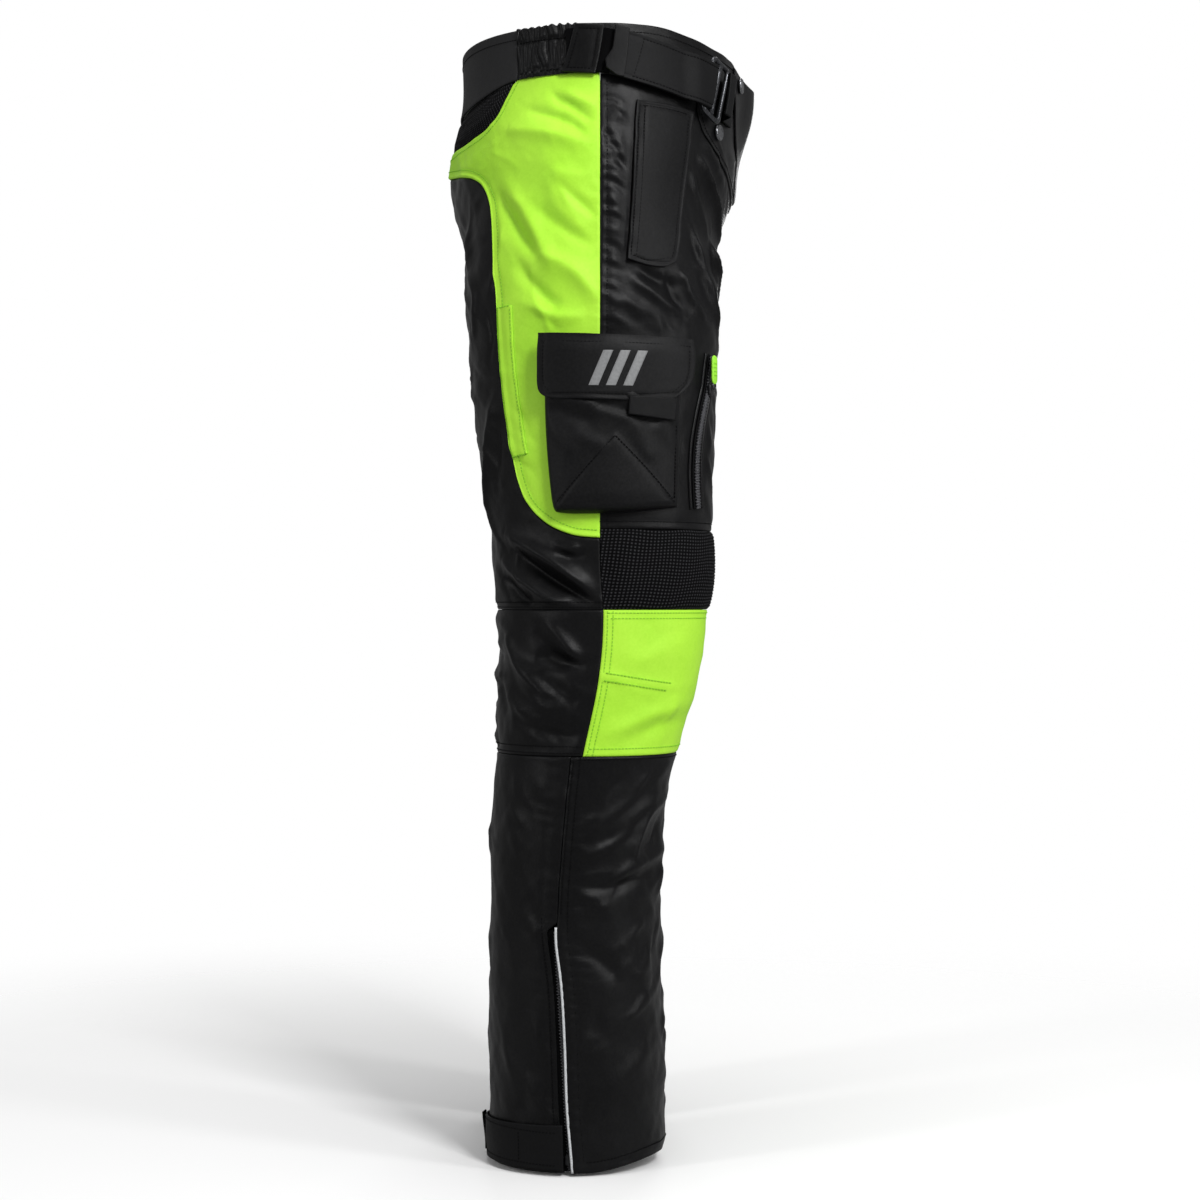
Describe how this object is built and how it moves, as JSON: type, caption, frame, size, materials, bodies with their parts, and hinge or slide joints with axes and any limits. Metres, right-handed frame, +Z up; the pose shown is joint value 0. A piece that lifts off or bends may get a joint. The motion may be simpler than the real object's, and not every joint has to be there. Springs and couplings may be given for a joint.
{
  "type": "protective forestry trousers",
  "caption": "Full-length cut-protection work trousers with bright side and knee panels, thigh pockets, vent and ankle zips, waist straps and inner pads",
  "frame": {"origin": "on the floor under the middle of the garment's bounding box", "axes": "+X towards the wearer's front, +Y to the wearer's left, +Z up"},
  "size_m": [0.2919, 0.4288, 1.0613],
  "materials": {
    "shell": "plain woven nylon",
    "bright_panel": "fluorescent yellow-green weave",
    "stretch_knit": "ribbed stretch knit",
    "smooth_lining": "smooth stretch fabric",
    "webbing": "hook and loop webbing",
    "zip_tape": "woven tape with moulded coils",
    "metal": "dark plated metal",
    "cut_fibres": "layered fibre mat",
    "foam": "closed-cell foam"
  },
  "bodies": {
    "waist": {"front_panel_right": "shell", "side_panel_right": "bright_panel", "seat_panel_right": "shell", "waistband_front_right": "shell", "waistband_elastic_right": "shell", "strap_base_right": "webbing", "buckle_loop_right": "webbing", "front_panel_left": "shell", "side_panel_left": "bright_panel", "seat_panel_left": "shell", "waistband_front_left": "shell", "waistband_elastic_left": "shell", "strap_base_left": "webbing", "buckle_loop_left": "webbing", "waistband_back": "smooth_lining", "back_stretch_yoke": "stretch_knit", "fly_zip": "zip_tape", "hanger_loop": "webbing", "snap_lower": "metal"},
    "right_thigh": {"knee_stretch_panel_right": "stretch_knit", "knee_panel_right": "bright_panel", "back_knee_panel_right": "shell", "thigh_cut_guard_right": "cut_fibres", "knee_pad_right": "foam", "cargo_pocket_right": "shell", "vent_zip_right": "zip_tape"},
    "right_shin": {"shin_panel_right": "shell", "calf_panel_right": "shell", "shin_cut_guard_right": "cut_fibres", "ankle_zip_right": "zip_tape"},
    "right_cargo_flap": {"cargo_flap_right": "shell"},
    "right_hip_flap": {"hip_flap_right": "shell"},
    "right_vent_slider": {"vent_slider_right": "metal"},
    "right_vent_pull": {"vent_pull_right": "bright_panel"},
    "right_ankle_slider": {"ankle_slider_right": "metal"},
    "right_ankle_strap": {"ankle_strap_right": "webbing"},
    "right_buckle": {"buckle_right": "metal"},
    "right_waist_strap": {"waist_strap_right": "webbing"},
    "left_thigh": {"knee_stretch_panel_left": "stretch_knit", "knee_panel_left": "bright_panel", "back_knee_panel_left": "shell", "thigh_cut_guard_left": "cut_fibres", "knee_pad_left": "foam", "cargo_pocket_left": "shell", "vent_zip_left": "zip_tape"},
    "left_shin": {"shin_panel_left": "shell", "calf_panel_left": "shell", "shin_cut_guard_left": "cut_fibres", "ankle_zip_left": "zip_tape"},
    "left_cargo_flap": {"cargo_flap_left": "shell"},
    "left_hip_flap": {"hip_flap_left": "shell"},
    "left_vent_slider": {"vent_slider_left": "metal"},
    "left_vent_pull": {"vent_pull_left": "bright_panel"},
    "left_ankle_slider": {"ankle_slider_left": "metal"},
    "left_ankle_strap": {"ankle_strap_left": "webbing"},
    "left_buckle": {"buckle_left": "metal"},
    "left_waist_strap": {"waist_strap_left": "webbing"},
    "fly_slider": {"fly_slider": "metal"},
    "fly_flap": {"fly_flap": "shell", "snap_upper": "metal"}
  },
  "joints": [
    {"name": "right_hip", "type": "hinge", "parent": "waist", "child": "right_thigh", "pos_m": [0, -0.108, 0.79], "axis": [0, -1, 0], "range_deg": [-15, 30], "deforming": ["front_panel_right", "seat_panel_right", "side_panel_right"]},
    {"name": "left_hip", "type": "hinge", "parent": "waist", "child": "left_thigh", "pos_m": [0, 0.108, 0.79], "axis": [0, -1, 0], "range_deg": [-15, 30], "deforming": ["front_panel_left", "seat_panel_left", "side_panel_left"]},
    {"name": "right_knee", "type": "hinge", "parent": "right_thigh", "child": "right_shin", "pos_m": [-0.028, -0.108, 0.452], "axis": [0, 1, 0], "range_deg": [0, 70], "deforming": ["knee_stretch_panel_right", "knee_panel_right", "back_knee_panel_right"]},
    {"name": "left_knee", "type": "hinge", "parent": "left_thigh", "child": "left_shin", "pos_m": [-0.028, 0.108, 0.452], "axis": [0, 1, 0], "range_deg": [0, 70], "deforming": ["knee_stretch_panel_left", "knee_panel_left", "back_knee_panel_left"]},
    {"name": "right_cargo_flap_hinge", "type": "hinge", "parent": "right_thigh", "child": "right_cargo_flap", "pos_m": [0.01848, -0.21064, 0.77], "axis": [-0.9868, -0.1622, 0], "range_deg": [0, 100]},
    {"name": "left_cargo_flap_hinge", "type": "hinge", "parent": "left_thigh", "child": "left_cargo_flap", "pos_m": [0.01848, 0.21064, 0.77], "axis": [0.9868, -0.1622, 0], "range_deg": [0, 100]},
    {"name": "right_hip_flap_hinge", "type": "hinge", "parent": "waist", "child": "right_hip_flap", "pos_m": [0.07745, -0.15875, 0.912], "axis": [0.1294, 0.2055, 0.9701], "range_deg": [0, 70]},
    {"name": "left_hip_flap_hinge", "type": "hinge", "parent": "waist", "child": "left_hip_flap", "pos_m": [0.07745, 0.15875, 0.912], "axis": [-0.1294, 0.2055, -0.9701], "range_deg": [0, 70]},
    {"name": "right_vent_slide", "type": "slide", "parent": "right_thigh", "child": "right_vent_slider", "axis": [-0.1135, -0.145, -0.9829], "range_m": [0, 0.104]},
    {"name": "left_vent_slide", "type": "slide", "parent": "left_thigh", "child": "left_vent_slider", "axis": [-0.1135, 0.145, -0.9829], "range_m": [0, 0.104]},
    {"name": "right_vent_pull_hinge", "type": "hinge", "parent": "right_vent_slider", "child": "right_vent_pull", "pos_m": [0.10641, -0.14451, 0.727], "axis": [0.4858, 0.874, 0], "range_deg": [0, 100]},
    {"name": "left_vent_pull_hinge", "type": "hinge", "parent": "left_vent_slider", "child": "left_vent_pull", "pos_m": [0.10641, 0.14451, 0.727], "axis": [-0.4858, 0.874, 0], "range_deg": [0, 100]},
    {"name": "right_ankle_slide", "type": "slide", "parent": "right_shin", "child": "right_ankle_slider", "axis": [-0.0608, 0.0118, 0.9981], "range_m": [0, 0.19]},
    {"name": "left_ankle_slide", "type": "slide", "parent": "left_shin", "child": "left_ankle_slider", "axis": [-0.0608, -0.0118, 0.9981], "range_m": [0, 0.19]},
    {"name": "right_ankle_strap_hinge", "type": "hinge", "parent": "right_shin", "child": "right_ankle_strap", "pos_m": [-0.03116, -0.18916, 0.022], "axis": [0, 0, 1], "range_deg": [0, 80]},
    {"name": "left_ankle_strap_hinge", "type": "hinge", "parent": "left_shin", "child": "left_ankle_strap", "pos_m": [-0.03116, 0.18916, 0.022], "axis": [0, 0, -1], "range_deg": [0, 80]},
    {"name": "right_buckle_hinge", "type": "hinge", "parent": "waist", "child": "right_buckle", "pos_m": [0.1165, -0.10789, 1.00221], "axis": [0.1825, 0.2893, 0.9397], "range_deg": [0, 12]},
    {"name": "left_buckle_hinge", "type": "hinge", "parent": "waist", "child": "left_buckle", "pos_m": [0.1165, 0.10789, 1.00221], "axis": [-0.1825, 0.2893, -0.9397], "range_deg": [0, 12]},
    {"name": "right_waist_strap_hinge", "type": "hinge", "parent": "right_buckle", "child": "right_waist_strap", "pos_m": [0.10506, -0.13379, 1.009], "axis": [0.0952, 0.1262, 0.9874], "range_deg": [0, 60]},
    {"name": "left_waist_strap_hinge", "type": "hinge", "parent": "left_buckle", "child": "left_waist_strap", "pos_m": [0.10506, 0.13379, 1.009], "axis": [-0.0952, 0.1262, -0.9874], "range_deg": [0, 60]},
    {"name": "fly_slide", "type": "slide", "parent": "waist", "child": "fly_slider", "axis": [-0.1437, 0, -0.9896], "range_m": [0, 0.075]},
    {"name": "fly_flap_hinge", "type": "hinge", "parent": "waist", "child": "fly_flap", "pos_m": [0.13751, 0.0143, 0.9835], "axis": [0.0566, 0, 0.9984], "range_deg": [0, 80]}
  ]
}
